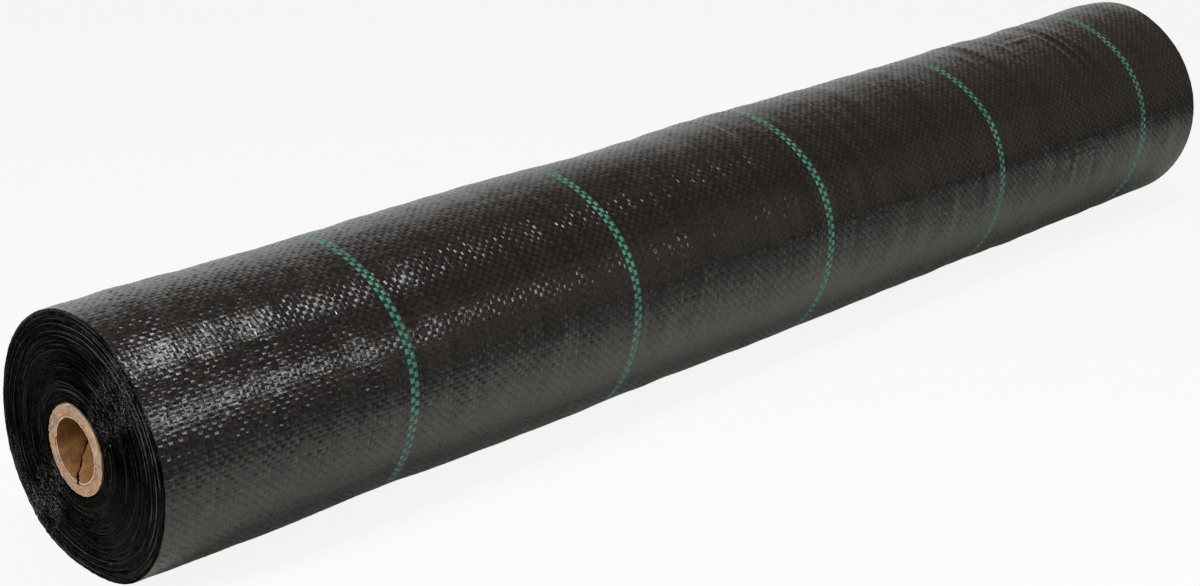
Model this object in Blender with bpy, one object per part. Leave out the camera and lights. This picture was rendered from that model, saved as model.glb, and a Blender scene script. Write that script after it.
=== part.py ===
import math

import bmesh
import bpy
from mathutils import Vector

# Roll of woven ground-cover fabric, wound on a tube of spiral-wound board.
# Lengths are in metres and +Z is up. X runs along the roll, with the end that was
# photographed at -X. The origin lies on the floor, under the middle of the roll.

full_turn = 2.0 * math.pi
straight_down = -0.5 * math.pi

# Roll
web_width = 1.000
roll_radius = 0.0800            # outer face of the web at its free edge
foot_depth = 0.0005             # how far the roll's own weight presses it flat
roll_facets = 48
piece_gap = 0.0003              # between two pieces that touch on the real roll

# Web: one modelled layer stands for three real ones
web_thickness = 0.0009
layer_clearance = 0.00045       # from the outer turn to the lap under it
edge_setback = 0.003            # the outer turn's selvedges lie back from the ends
rim_chamfer = 0.003             # the ends of the inner turns are rounded by this much
tail_edge_angle = math.radians(22.5)
tail_length = 0.052             # free end of the web, along its outer face
lap_length = 0.0208             # outer turn that runs on under itself past the hinge line

# Marker tapes: pairs of coloured warp tapes woven into the web
tape_width = 0.0029
tape_thickness = 0.0003
stripe_place_shares = (0.1745, 0.358, 0.5455, 0.741, 0.927)     # of the web's width

# Core: a tube of board plies
core_bore_radius = 0.019
core_overhang = 0.0025          # the tube stands out of the web at each end
inner_ply_thickness = 0.0012
wall_thickness = 0.0046         # the plies between the inner and the outer one
outer_ply_thickness = 0.0011
ply_pitch = 0.0954              # the inner ply's advance along the tube in one turn
seam_gap = 0.0005               # open butt seam of the inner ply
core_facets = 24

# Adhesive tape that holds the web's first turn to the core
start_tape_width = 0.048
start_tape_thickness = 0.0004
start_tape_angle = math.radians(90.0)

# Worked out from the sizes above
layer_pitch = web_thickness + layer_clearance
inner_ply_radius = core_bore_radius + inner_ply_thickness
wall_bore_radius = inner_ply_radius + piece_gap
wall_radius = wall_bore_radius + wall_thickness
outer_ply_bore_radius = wall_radius + piece_gap
core_radius = outer_ply_bore_radius + outer_ply_thickness
core_length = web_width + 2.0 * core_overhang
channel_depth = tape_thickness + piece_gap
half_gap_turn = 0.5 * piece_gap / roll_radius
hinge_turned = tail_length / roll_radius
lap_end_turned = full_turn + hinge_turned + lap_length / roll_radius
foot_turned = (straight_down - tail_edge_angle) % full_turn
unpressed_radius = roll_radius - layer_pitch * foot_turned / full_turn
axis_height = unpressed_radius - foot_depth
foot_half_angle = math.acos(axis_height / unpressed_radius)


def make_material(name, colour, roughness):
    material = bpy.data.materials.new(name)
    material.use_nodes = True
    shader = material.node_tree.nodes["Principled BSDF"]
    shader.inputs["Base Color"].default_value = (*colour, 1.0)
    shader.inputs["Roughness"].default_value = roughness
    shader.inputs["Metallic"].default_value = 0.0
    return material


def make_object(name, shape, material, parent):
    # The shape's points are in the parent's own frame.
    bmesh.ops.recalc_face_normals(shape, faces=shape.faces)
    mesh = bpy.data.meshes.new(name)
    shape.to_mesh(mesh)
    shape.free()
    mesh.shade_smooth()
    mesh.set_sharp_from_angle(angle=math.radians(30.0))
    mesh.materials.append(material)
    made = bpy.data.objects.new(name, mesh)
    made.parent = parent
    bpy.context.scene.collection.objects.link(made)
    return made


def make_empty(name, location, parent):
    empty = bpy.data.objects.new(name, None)
    empty.location = location
    empty.parent = parent
    bpy.context.scene.collection.objects.link(empty)
    return empty


def foot_corner_angles():
    # Where the roll's facets meet, measured round from straight down. The pressed
    # flat takes the place of the corners that lie within it.
    step = full_turn / roll_facets
    clear_of_foot = foot_half_angle + 0.1 * step
    corners = [index * step for index in range(roll_facets)]
    kept = [at for at in corners if clear_of_foot < at < full_turn - clear_of_foot]
    return [foot_half_angle] + kept + [full_turn - foot_half_angle]


def corner_place(turned, depth):
    # A facet corner of the winding, seen along the roll, as (y, z) from its axis.
    angle = tail_edge_angle + turned
    from_down = (angle - straight_down + math.pi) % full_turn - math.pi
    if abs(from_down) < 1.01 * foot_half_angle:
        layers_down = round((turned - foot_turned) / full_turn)
        drop = axis_height - layer_pitch * layers_down - depth
        radius = drop / math.cos(from_down)
    else:
        radius = roll_radius - layer_pitch * turned / full_turn - depth
    return Vector((radius * math.cos(angle), radius * math.sin(angle)))


def wound_place(turned, depth):
    # Any point of the winding lies on the straight facet between two corners.
    # turned is the angle wound in from the free edge, depth is measured inwards.
    corners = foot_corner_angles()
    around = (tail_edge_angle + turned - straight_down) % full_turn
    below = max([at for at in corners if at <= around], default=corners[-1] - full_turn)
    above = min([at for at in corners if at > around], default=corners[0] + full_turn)
    first = corner_place(turned - (around - below), depth)
    last = corner_place(turned + (above - around), depth)
    before = first.length * math.sin(around - below)
    after = last.length * math.sin(above - around)
    return first.lerp(last, before / (before + after))


def wound_stations(turned_from, turned_to):
    # The corners passed on the way, with both ends of the run.
    shortest = 0.02 * full_turn / roll_facets
    offset = tail_edge_angle - straight_down
    stations = [turned_from]
    for turn_index in range(-2, 4):
        for around in foot_corner_angles():
            turned = turn_index * full_turn + around - offset
            if turned_from + shortest < turned < turned_to - shortest:
                stations.append(turned)
    return sorted(stations) + [turned_to]


def sweep_rings(shape, rings):
    # Joins a row of closed rings into one body with a cap on each end.
    rows = [[shape.verts.new(point) for point in ring] for ring in rings]
    for first, last in zip(rows, rows[1:]):
        for index in range(len(first)):
            after = (index + 1) % len(first)
            shape.faces.new((first[index], first[after], last[after], last[index]))
    shape.faces.new(list(reversed(rows[0])))
    shape.faces.new(rows[-1])


def wound_strip(turned_from, turned_to, profile, centre):
    # A strip of the winding. The profile is a list of (x, depth) corners.
    shape = bmesh.new()
    rings = []
    for turned in wound_stations(turned_from, turned_to):
        ring = []
        for x, depth in profile:
            y, z = wound_place(turned, depth)
            ring.append(Vector((x, y, z)) - centre)
        rings.append(ring)
    sweep_rings(shape, rings)
    return shape


def stripe_centres():
    return [web_width * (share - 0.5) for share in stripe_place_shares]


def web_profile():
    # The web cut across: a channel in its outer face carries each pair of tapes.
    half_channel = tape_width + 1.5 * piece_gap
    near_edge = edge_setback - 0.5 * web_width
    far_edge = 0.5 * web_width - edge_setback
    profile = [(near_edge, web_thickness), (near_edge, 0.0)]
    for centre in stripe_centres():
        profile.append((centre - half_channel, 0.0))
        profile.append((centre - half_channel, channel_depth))
        profile.append((centre + half_channel, channel_depth))
        profile.append((centre + half_channel, 0.0))
    return profile + [(far_edge, 0.0), (far_edge, web_thickness)]


def tape_profile(centre, side):
    # One tape of a pair: side is -1 for the one nearer the photographed end.
    inner_edge = centre + side * 0.5 * piece_gap
    outer_edge = inner_edge + side * tape_width
    return [
        (inner_edge, 0.0),
        (outer_edge, 0.0),
        (outer_edge, tape_thickness),
        (inner_edge, tape_thickness),
    ]


def make_wound_pieces(suffix, turned_from, turned_to, materials, parent, centre):
    # The web between two angles, and its ten marker tapes.
    shape = wound_strip(turned_from, turned_to, web_profile(), centre)
    make_object("web_" + suffix, shape, materials["web"], parent)
    for number, stripe in enumerate(stripe_centres(), start=1):
        for letter, side in (("a", -1.0), ("b", 1.0)):
            name = f"marker_tape_{number}{letter}_{suffix}"
            profile = tape_profile(stripe, side)
            shape = wound_strip(turned_from, turned_to, profile, centre)
            make_object(name, shape, materials["marker"], parent)


def facet_place(angle, radius):
    # A point on the straight facets of the core's rings, as (y, z).
    step = full_turn / core_facets
    off_middle = (angle % step) - 0.5 * step
    reach = radius * math.cos(0.5 * step) / math.cos(off_middle)
    return Vector((reach * math.cos(angle), reach * math.sin(angle)))


def arc_angles(angle_from, angle_to):
    # The core's facet corners between two angles, with the two angles themselves.
    step = full_turn / core_facets
    first = math.floor(angle_from / step) + 1
    last = math.ceil(angle_to / step)
    margin = 0.02 * step
    corners = [index * step for index in range(first, last)]
    kept = [at for at in corners if angle_from + margin < at < angle_to - margin]
    return [angle_from] + kept + [angle_to]


def make_inner_turns(material, parent):
    # The turns under the outer one, as a plain body. Its outside is a spiral with one
    # step, where the outer turn starts, and its bore has room for the start tape.
    gap_turn = piece_gap / roll_radius
    step_turned = lap_end_turned - full_turn + gap_turn
    under_web = web_thickness + piece_gap
    outline = wound_stations(step_turned, step_turned + full_turn)
    half_width = 0.5 * web_width
    sections = (
        (-half_width, under_web + rim_chamfer),
        (rim_chamfer - half_width, under_web),
        (half_width - rim_chamfer, under_web),
        (half_width, under_web + rim_chamfer),
    )
    bore_radius = core_radius + piece_gap
    recess_radius = bore_radius + start_tape_thickness + piece_gap
    half_recess = (0.5 * start_tape_width + piece_gap) / core_radius
    recess_from = start_tape_angle - half_recess
    recess_to = start_tape_angle + half_recess
    bore = [facet_place(at, bore_radius) for at in arc_angles(recess_to, recess_from + full_turn)]
    bore += [facet_place(at, recess_radius) for at in arc_angles(recess_from, recess_to)]

    shape = bmesh.new()
    outer_rings = []
    for x, depth in sections:
        places = [wound_place(turned, depth) for turned in outline]
        outer_rings.append([shape.verts.new((x, y, z)) for y, z in places])
    bore_rings = [[shape.verts.new((x, y, z)) for y, z in bore] for x in (-half_width, half_width)]
    for rings in (outer_rings, bore_rings):
        for first, last in zip(rings, rings[1:]):
            for index in range(len(first)):
                after = (index + 1) % len(first)
                shape.faces.new((first[index], first[after], last[after], last[index]))
    for outer, inner in ((outer_rings[0], bore_rings[0]), (outer_rings[-1], bore_rings[-1])):
        rim = []
        for ring in (outer, inner):
            for index in range(len(ring)):
                rim.append(shape.edges.get((ring[index], ring[(index + 1) % len(ring)])))
        bmesh.ops.triangle_fill(shape, edges=rim, use_beauty=True)
    make_object("web_inner_turns", shape, material, parent)


def make_tube(name, bore_radius, radius, material, parent):
    # A plain tube as long as the core.
    shape = bmesh.new()
    rings = []
    half_length = 0.5 * core_length
    corners = [index * full_turn / core_facets for index in range(core_facets)]
    for x, reach in (
        (-half_length, bore_radius),
        (-half_length, radius),
        (half_length, radius),
        (half_length, bore_radius),
    ):
        places = [facet_place(at, reach) for at in corners]
        rings.append([shape.verts.new((x, y, z)) for y, z in places])
    for first, last in zip(rings, rings[1:] + rings[:1]):
        for index in range(core_facets):
            after = (index + 1) % core_facets
            shape.faces.new((first[index], first[after], last[after], last[index]))
    make_object(name, shape, material, parent)


def make_inner_ply(material, parent):
    # A strip of board wound into a helix, with an open butt seam from turn to turn.
    # The seam leaves the photographed end at the bottom of the bore. The strip is
    # wound past both ends of the tube and cut off square.
    shape = bmesh.new()
    half_length = 0.5 * core_length
    step = full_turn / core_facets
    first_step = -core_facets - 1
    last_step = math.ceil(core_facets * core_length / ply_pitch) + 1
    rings = []
    for index in range(first_step, last_step + 1):
        angle = straight_down + index * step
        seam_x = -half_length + ply_pitch * index / core_facets
        near_x = seam_x + 0.5 * seam_gap
        far_x = seam_x + ply_pitch - 0.5 * seam_gap
        inner_y, inner_z = facet_place(angle, core_bore_radius)
        outer_y, outer_z = facet_place(angle, inner_ply_radius)
        rings.append((
            (near_x, inner_y, inner_z),
            (far_x, inner_y, inner_z),
            (far_x, outer_y, outer_z),
            (near_x, outer_y, outer_z),
        ))
    sweep_rings(shape, rings)
    for side in (-1.0, 1.0):
        bmesh.ops.bisect_plane(
            shape,
            geom=shape.verts[:] + shape.edges[:] + shape.faces[:],
            plane_co=(side * half_length, 0.0, 0.0),
            plane_no=(side, 0.0, 0.0),
            clear_outer=True,
        )
        cut_edges = [edge for edge in shape.edges if edge.is_boundary]
        bmesh.ops.contextual_create(shape, geom=cut_edges)
    make_object("core_inner_ply", shape, material, parent)


def make_start_tape(material, parent):
    shape = bmesh.new()
    half_width = 0.5 * web_width
    inner_radius = core_radius + piece_gap
    outer_radius = inner_radius + start_tape_thickness
    half_arc = 0.5 * start_tape_width / core_radius
    rings = []
    for angle in arc_angles(start_tape_angle - half_arc, start_tape_angle + half_arc):
        inner_y, inner_z = facet_place(angle, inner_radius)
        outer_y, outer_z = facet_place(angle, outer_radius)
        rings.append((
            (-half_width, inner_y, inner_z),
            (half_width, inner_y, inner_z),
            (half_width, outer_y, outer_z),
            (-half_width, outer_y, outer_z),
        ))
    sweep_rings(shape, rings)
    make_object("start_tape", shape, material, parent)


def print_least_gaps():
    # The web's least gap to itself, between points along the lap and points along the
    # inner face of the outer turn over it, and the inner ply's gap at its seam.
    steps = 200
    least = full_turn
    lap_from = full_turn + hinge_turned
    lap_run = lap_end_turned - lap_from
    over = [wound_place(hinge_turned + lap_run * i / steps, web_thickness) for i in range(steps + 1)]
    for i in range(steps + 1):
        under = wound_place(lap_from + lap_run * i / steps, 0.0)
        least = min([least] + [(under - above).length for above in over])
    print(f"web's least gap to itself: {1000.0 * least:.3f} mm")
    print(f"inner ply's least gap to itself: {1000.0 * seam_gap:.3f} mm along the tube")


def main():
    for old in list(bpy.data.objects):
        bpy.data.objects.remove(old)
    materials = {
        "web": make_material("black_woven_tape", (0.022, 0.020, 0.019), 0.38),
        "marker": make_material("green_marker_tape", (0.030, 0.270, 0.150), 0.40),
        "board": make_material("core_board", (0.520, 0.340, 0.200), 0.90),
        "start_tape": make_material("clear_tape", (0.600, 0.560, 0.450), 0.35),
    }
    roll_axis = make_empty("roll_axis", (0.0, 0.0, axis_height), None)
    make_inner_ply(materials["board"], roll_axis)
    make_tube("core_wall_plies", wall_bore_radius, wall_radius, materials["board"], roll_axis)
    make_tube("core_outer_ply", outer_ply_bore_radius, core_radius, materials["board"], roll_axis)
    make_start_tape(materials["start_tape"], roll_axis)
    make_inner_turns(materials["web"], roll_axis)

    # The tail lifts about a line on the web's outer face, in the middle of the gap
    # between the tail and the outer turn.
    hinge_y, hinge_z = wound_place(hinge_turned, 0.0)
    hinge_place = Vector((0.0, hinge_y, hinge_z))
    tail_hinge = make_empty("tail_hinge", hinge_place, roll_axis)
    make_wound_pieces(
        "outer_turn",
        hinge_turned + half_gap_turn,
        lap_end_turned,
        materials,
        roll_axis,
        Vector((0.0, 0.0, 0.0)),
    )
    make_wound_pieces("tail", 0.0, hinge_turned - half_gap_turn, materials, tail_hinge, hinge_place)
    print(f"tail hinge at y {hinge_y:.6f}, z {hinge_z + axis_height:.6f} m")
    print(f"roll axis at z {axis_height:.6f} m")
    print_least_gaps()


main()
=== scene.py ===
import math

import bpy
import numpy as np
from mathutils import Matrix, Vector


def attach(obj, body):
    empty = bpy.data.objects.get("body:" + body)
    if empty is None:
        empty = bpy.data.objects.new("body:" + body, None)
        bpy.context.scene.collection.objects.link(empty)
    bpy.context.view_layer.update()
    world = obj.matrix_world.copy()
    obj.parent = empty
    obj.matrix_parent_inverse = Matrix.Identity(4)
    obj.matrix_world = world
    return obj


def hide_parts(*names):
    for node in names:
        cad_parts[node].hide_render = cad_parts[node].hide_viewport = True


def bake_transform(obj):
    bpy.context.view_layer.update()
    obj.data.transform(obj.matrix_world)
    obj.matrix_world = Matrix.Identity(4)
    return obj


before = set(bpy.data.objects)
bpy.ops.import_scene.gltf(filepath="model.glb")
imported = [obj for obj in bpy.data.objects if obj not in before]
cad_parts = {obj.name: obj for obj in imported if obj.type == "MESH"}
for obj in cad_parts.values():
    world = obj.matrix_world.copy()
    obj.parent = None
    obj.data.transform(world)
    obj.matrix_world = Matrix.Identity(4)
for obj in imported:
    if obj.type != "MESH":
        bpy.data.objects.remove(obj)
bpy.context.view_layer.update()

# Roll of woven ground cover on a board tube. Metres, X along the roll, photographed end at -X.
# Angles round the roll are in degrees from +Y up over the top. "turned" is the angle wound in
# from the web's free edge.

scene = bpy.context.scene
scene.view_settings.view_transform = "Standard"

roll = {
    "axisZ": 0.078572,          # height of the roll's axis over the floor
    "topRadius": 0.07965,       # tops of the weave at the free edge
    "layerStep": 0.00045,       # the web sinks by this much in one turn
    "freeEdge": 22.5,
    "hingeTurned": 37.24,       # where the free end starts to lift
    "lapTurned": 412.1,         # the outer turn ends here, under itself
    "wovenRadius": 0.0793,      # for lengths along the web
    "axisDepth": 0.079,         # from the tops of the weave in to the axis, for the sleeves
    "halfWidth": 0.497,         # of the web, but for its edges
    "hinge": (0.0, 0.040229, 0.147533),
    "bendLength": 0.020,        # over which the free end bends as it lifts
    "softDepth": 0.035,         # dents of the outside have died out this far in
}
turnedPerMetre = math.degrees(1.0 / roll["wovenRadius"])


# Camera and light

view = {
    "place": (-1.0963, -1.0176, 0.6066),
    "turn": (69.14, 0.0, -44.44),
    "lens": 68.53,
}


def makeCamera():
    turn = [math.radians(part) for part in view["turn"]]
    bpy.ops.object.camera_add(location=view["place"], rotation=turn)
    camera = bpy.context.object
    camera.name = "photoCamera"
    camera.data.sensor_width = 36.0
    camera.data.lens = view["lens"]
    scene.camera = camera


softboxes = {
    "overheadBox": {"place": (0.04, -0.33, 1.40), "size": (0.36, 0.46), "brightness": 13.5},
    "frontStrip": {"place": (-0.05, -0.85, 0.52), "size": (0.40, 0.12), "brightness": 11.0},
    "endFill": {"place": (-1.88, -0.12, 0.80), "size": (0.30, 0.30), "brightness": 78.0},
}


def makeSoftboxes():
    for name, box in softboxes.items():
        place = Vector(box["place"])
        aim = Vector((-0.2, 0.0, roll["axisZ"])) - place
        turn = aim.to_track_quat("-Z", "Y").to_euler()
        bpy.ops.object.light_add(type="AREA", location=place, rotation=turn)
        lamp = bpy.context.object
        lamp.name = name
        lamp.data.shape = "RECTANGLE"
        lamp.data.size, lamp.data.size_y = box["size"]
        # the power that gives the wanted brightness of the box's face
        lamp.data.energy = box["brightness"] * math.pi * box["size"][0] * box["size"][1]
        lamp.visible_camera = False


class Wire:
    # One shader socket, so that node maths can be written as plain sums.

    def __init__(self, tree, socket=None):
        self.tree = tree
        self.socket = socket

    def add(self, kind, settings=None, inputs=None, out=0):
        node = self.tree.nodes.new(kind)
        for name, value in (settings or {}).items():
            setattr(node, name, value)
        for name, value in (inputs or {}).items():
            if isinstance(value, Wire):
                self.tree.links.new(value.socket, node.inputs[name])
            else:
                node.inputs[name].default_value = value
        return Wire(self.tree, node.outputs[out])

    def maths(self, operation, first, second=0.0):
        return self.add("ShaderNodeMath", {"operation": operation}, {0: first, 1: second})

    def __add__(self, other):
        return self.maths("ADD", self, other)

    def __radd__(self, other):
        return self.maths("ADD", other, self)

    def __sub__(self, other):
        return self.maths("SUBTRACT", self, other)

    def __rsub__(self, other):
        return self.maths("SUBTRACT", other, self)

    def __mul__(self, other):
        return self.maths("MULTIPLY", self, other)

    def __rmul__(self, other):
        return self.maths("MULTIPLY", other, self)

    def __truediv__(self, other):
        return self.maths("DIVIDE", self, other)

    def __rtruediv__(self, other):
        return self.maths("DIVIDE", other, self)

    def __pow__(self, other):
        return self.maths("POWER", self, other)

    def most(self, other):
        return self.maths("MAXIMUM", self, other)

    def absolute(self):
        return self.maths("ABSOLUTE", self)

    def sine(self):
        return self.maths("SINE", self)

    def axis(self, letter):
        return self.add("ShaderNodeSeparateXYZ", None, {0: self}, out=letter)

    def place(self):
        return self.add("ShaderNodeTexCoord", out="Object")

    def isRay(self, kind):
        return self.add("ShaderNodeLightPath", out=f"Is {kind} Ray")

    def between(self, low, high):
        # 0 below low, 1 above high, smooth in between
        return self.add(
            "ShaderNodeMapRange",
            {"interpolation_type": "SMOOTHSTEP"},
            {"Value": self, "From Min": low, "From Max": high},
        )

    def within(self, start, full, fade, end):
        # 1 from full to fade, 0 outside start and end
        return self.between(start, full) * (1.0 - self.between(fade, end))

    def tint(self, first, second):
        # first where this value is 0, second where it is 1
        colours = []
        for colour in (first, second):
            colours.append(colour if isinstance(colour, Wire) else (*colour, 1.0))
        settings = {"data_type": "RGBA"}
        return self.add("ShaderNodeMix", settings, {0: self, 6: colours[0], 7: colours[1]}, out=2)

    def stretched(self, scale, move=(0.0, 0.0, 0.0)):
        return self.add("ShaderNodeMapping", None, {"Vector": self, "Scale": scale, "Location": move})

    def noise(self, scale, detail=2.0, roughness=0.5):
        inputs = {"Vector": self, "Scale": scale, "Detail": detail, "Roughness": roughness}
        return self.add("ShaderNodeTexNoise", None, inputs)

    def bump(self, strength, distance):
        # this value as a height
        inputs = {"Strength": strength, "Distance": distance, "Height": self}
        return self.add("ShaderNodeBump", None, inputs)


def blend(shares, wires, total=0.0):
    # The sum of the wires, each times its share.
    for share, wire in zip(shares, wires):
        total = total + share * wire
    return total


# what gloss sees of the studio, by direction; the camera sees only white
backdrop = {
    "sheetLeft": (1.30, 1.29, 1.26),        # white sheet behind the roll
    "sheetRight": (0.54, 0.53, 0.51),
    "sheetTop": (0.30, 0.70),
    "sheetFadesX": (0.25, 0.85),
    "room": (0.27, 0.228, 0.197),           # over the sheet
    "flag": (0.045, 0.040, 0.035),          # black flag to the left of both
    "flagBySheetX": (-0.20, 0.22),
    "flagByRoomX": (-0.55, 0.10),
    "glow": (0.69, 0.60, 0.53),             # low in front
    "glowX": (0.50, 0.62, 0.66, 0.81),
    "glowFadesY": (-0.35, -0.10),
    "glowZ": (-0.12, 0.04, 0.36, 0.62),
    "fill": (0.17, 0.17, 0.17),             # all that diffuse rays see
}


def seenRays(start):
    # 1 for the rays that show a white background
    return start.isRay("Camera").most(start.isRay("Transmission"))


def lightWorld():
    world = bpy.data.worlds.new("studioWorld")
    scene.world = world
    world.use_nodes = True
    tree = world.node_tree
    tree.nodes.clear()
    start = Wire(tree)
    direction = start.add("ShaderNodeTexCoord", out="Generated")
    x, y, z = (direction.axis(letter) for letter in "XYZ")
    up = z.most(0.0)
    steep = up / (up + y.most(0.0) + 0.001)
    room = x.between(*backdrop["flagByRoomX"]).tint(backdrop["flag"], backdrop["room"])
    sheet = x.between(*backdrop["sheetFadesX"]).tint(backdrop["sheetLeft"], backdrop["sheetRight"])
    sheet = x.between(*backdrop["flagBySheetX"]).tint(backdrop["flag"], sheet)
    shown = steep.between(*backdrop["sheetTop"]).tint(sheet, room)
    low = x.within(*backdrop["glowX"]) * z.within(*backdrop["glowZ"])
    low = low * (1.0 - y.between(*backdrop["glowFadesY"]))
    shown = low.tint(shown, backdrop["glow"])
    lighting = start.isRay("Glossy").tint(backdrop["fill"], shown)
    colour = seenRays(start).tint(lighting, (1.0, 1.0, 1.0))
    background = start.add("ShaderNodeBackground", None, {"Color": colour, "Strength": 1.0})
    output = tree.nodes.new("ShaderNodeOutputWorld")
    tree.links.new(background.socket, output.inputs["Surface"])


def newMaterial(name):
    # A material with only a Principled shader: returns it, its shader and a wire to build from.
    material = bpy.data.materials.new(name)
    material.use_nodes = True
    tree = material.node_tree
    shader = tree.nodes["Principled BSDF"]
    return material, shader, Wire(tree)


def plug(shader, colour, roughness=None, normal=None):
    varying = {"Base Color": colour, "Roughness": roughness, "Normal": normal}
    for name, value in varying.items():
        if value is not None:
            shader.id_data.links.new(value.socket, shader.inputs[name])


floorSheet = {
    "size": 40.0,
    "z": -0.0002,
    "startX": (-0.64, -0.46),               # the white sheet on the floor, seen in gloss
    "startY": (-0.48, -0.12),
    "white": (1.08, 1.10, 1.00),
    "dark": (0.015, 0.014, 0.012),
    "away": (0.33, 0.42),                   # share of white away from the roll, and more on the right
    "rightX": (-0.10, 0.45),
    # each: how much brighter it gets, from and to which place along the roll
    "changes": ((-0.14, -0.20, 0.45), (0.30, 0.45, 0.62), (-0.55, 0.60, 0.90)),
    "besideY": (-0.104, -0.080, -0.064, -0.054),        # the roll's own shade
    "shade": 0.20,
    "behindY": (0.05, 0.25),
    "behind": 0.55,
    "rollX": (-0.56, -0.46),                # from here on it lies beside the roll
    "kept": (0.73, 0.35),                   # light that it doesn't throw back, and less beside the roll
    "lifted": 0.60,
    "plain": (0.82, 0.82, 0.82),
    "seen": 0.88,                           # share of plain white, so that a shadow is left
}


def makeFloor():
    look = floorSheet
    bpy.ops.mesh.primitive_plane_add(size=look["size"], location=(0.0, 0.0, look["z"]))
    floor = bpy.context.object
    floor.name = "studioFloor"
    material, shader, start = newMaterial("paleFloor")
    along = start.place().axis("X")
    across = start.place().axis("Y")
    onSheet = along.between(*look["startX"])
    away, more = look["away"]
    near = across.between(*look["startY"]).most(away + more * along.between(*look["rightX"]))
    fall = 1.0
    for change, low, high in look["changes"]:
        fall = fall + change * along.between(low, high)
    near = near * fall * (1.0 - look["shade"] * across.within(*look["besideY"])) * onSheet
    shown = near.tint(look["dark"], look["white"])
    gloss = start.isRay("Glossy")
    bounced = start.isRay("Diffuse")
    # little of what it throws back reaches the bore's roof
    besideRoll = along.between(*look["rollX"])
    kept, less = look["kept"]
    thrown = 1.0 - bounced * (kept - less * besideRoll)
    plain = thrown.tint((0.0, 0.0, 0.0), look["plain"])
    plug(shader, gloss.tint(plain, shown))
    shader.inputs["Roughness"].default_value = 0.9
    shader.inputs["Specular IOR Level"].default_value = 0.0
    white = start.add("ShaderNodeEmission", None, {"Color": (1.0, 1.0, 1.0, 1.0), "Strength": 1.0})
    lit = Wire(start.tree, shader.outputs[0])
    behind = look["behind"] * gloss * across.between(*look["behindY"]) * onSheet
    bright = (look["seen"] * seenRays(start)).most(behind)
    # beside the roll the floor glows white for diffuse rays: a painted light on the roll's underside
    bright = bright.most(look["lifted"] * bounced * besideRoll)
    mixed = start.add("ShaderNodeMixShader", None, {0: bright, 1: lit, 2: white})
    output = start.tree.nodes["Material Output"]
    start.tree.links.new(mixed.socket, output.inputs["Surface"])
    floor.data.materials.append(material)


makeCamera()
makeSoftboxes()
lightWorld()
makeFloor()
print("stage: camera, softboxes, world and floor")


# The roll's outside, as every wound piece shares it

swell = {
    "seed": 11,
    "long": {"count": 14, "rise": 0.00011, "lengths": (0.09, 0.30), "around": 4},
    "short": {"count": 16, "rise": 0.00004, "lengths": (0.028, 0.065), "around": 3},
}
# each: along the roll, angle, reach along, reach round in degrees, rise
dents = [
    (-0.50, 335.0, 0.14, 30.0, 0.0046),      # the near end bulges low at the back
    (-0.50, 20.0, 0.14, 26.0, 0.0018),
    (-0.50, 302.0, 0.12, 18.0, 0.0022),
    (-0.50, 268.0, 0.07, 22.0, -0.0016),
    (-0.50, 70.0, 0.06, 16.0, -0.0004),
    (0.50, 97.0, 0.10, 18.0, 0.0008),
    (0.468, 82.0, 0.040, 36.0, 0.0020),      # the far selvedge winds up a little thicker
    (0.50, 214.0, 0.12, 30.0, -0.0010),
    (-0.07, 240.0, 0.26, 24.0, 0.0013),      # slack underside
    (0.00, 238.0, 1.00, 30.0, 0.0008),
    (-0.40, 68.0, 0.05, 16.0, -0.0002),      # rises and dips of the top line
    (-0.10, 68.0, 0.035, 14.0, -0.0012),
    (0.12, 68.0, 0.05, 14.0, -0.0006),
    (0.355, 68.0, 0.018, 12.0, -0.0015),
    (0.351, 98.0, 0.016, 1.6, 0.00060),      # small buckle near the far end
    (0.351, 94.0, 0.018, 2.2, -0.00040),
    (0.325, 98.0, 0.0028, 16.0, 0.00028),
    (0.370, 108.0, 0.0030, 32.0, 0.00030),   # creases that run round the roll
    (0.3825, 112.0, 0.0028, 34.0, 0.00044),
    (0.376, 110.0, 0.0030, 30.0, -0.00022),
    (0.340, 178.5, 0.030, 1.8, 0.00022),
    (0.300, 100.0, 0.0060, 20.0, 0.00020),
    (0.440, 118.0, 0.0050, 30.0, 0.00016),
    (0.190, 104.0, 0.0060, 22.0, 0.00016),
]


# small creases round the roll, in the lit band on top and in the low one
creases = {
    "seed": 8,
    "count": (26, 18),
    "places": ((-0.05, 0.49), (0.05, 0.45)),
    "angles": ((86.0, 108.0), (168.0, 196.0)),
    "reachAlong": (0.0022, 0.0042),
    "reachRound": (6.0, 22.0),
    "rise": 0.00045,
}


def smallCreases():
    rng = np.random.default_rng(creases["seed"])
    made = []
    for count, places, angles in zip(creases["count"], creases["places"], creases["angles"]):
        for number in range(count):
            reach = rng.uniform(*creases["reachAlong"]), rng.uniform(*creases["reachRound"])
            rise = creases["rise"] * rng.normal()
            made.append((rng.uniform(*places), rng.uniform(*angles), *reach, rise))
    return made


def swellWaves():
    rng = np.random.default_rng(swell["seed"])
    waves = []
    for kind in (swell["long"], swell["short"]):
        for number in range(kind["count"]):
            along = 2.0 * math.pi / rng.uniform(*kind["lengths"])
            around = int(rng.integers(-kind["around"], kind["around"] + 1))
            waves.append((along, around, rng.uniform(0.0, 6.28), kind["rise"]))
    return waves


waves = swellWaves()
dents = dents + smallCreases()


def degreesFrom(angle, middle):
    return (angle - middle + 180.0) % 360.0 - 180.0


def smoothStep(value, low=0.0, high=1.0):
    part = np.clip((value - low) / (high - low), 0.0, 1.0)
    return part * part * (3.0 - 2.0 * part)


def unevenness(x, angle):
    # How far the outside stands proud of a true spiral.
    total = np.zeros(np.broadcast(x, angle).shape)
    for along, around, phase, rise in waves:
        total = total + rise * np.sin(along * x + around * angle + phase)
    for placeX, placeAngle, reachX, reachAngle, rise in dents:
        away = degreesFrom(np.degrees(angle), placeAngle)
        total = total + rise * np.exp(-((x - placeX) / reachX) ** 2 - (away / reachAngle) ** 2)
    return total


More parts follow.
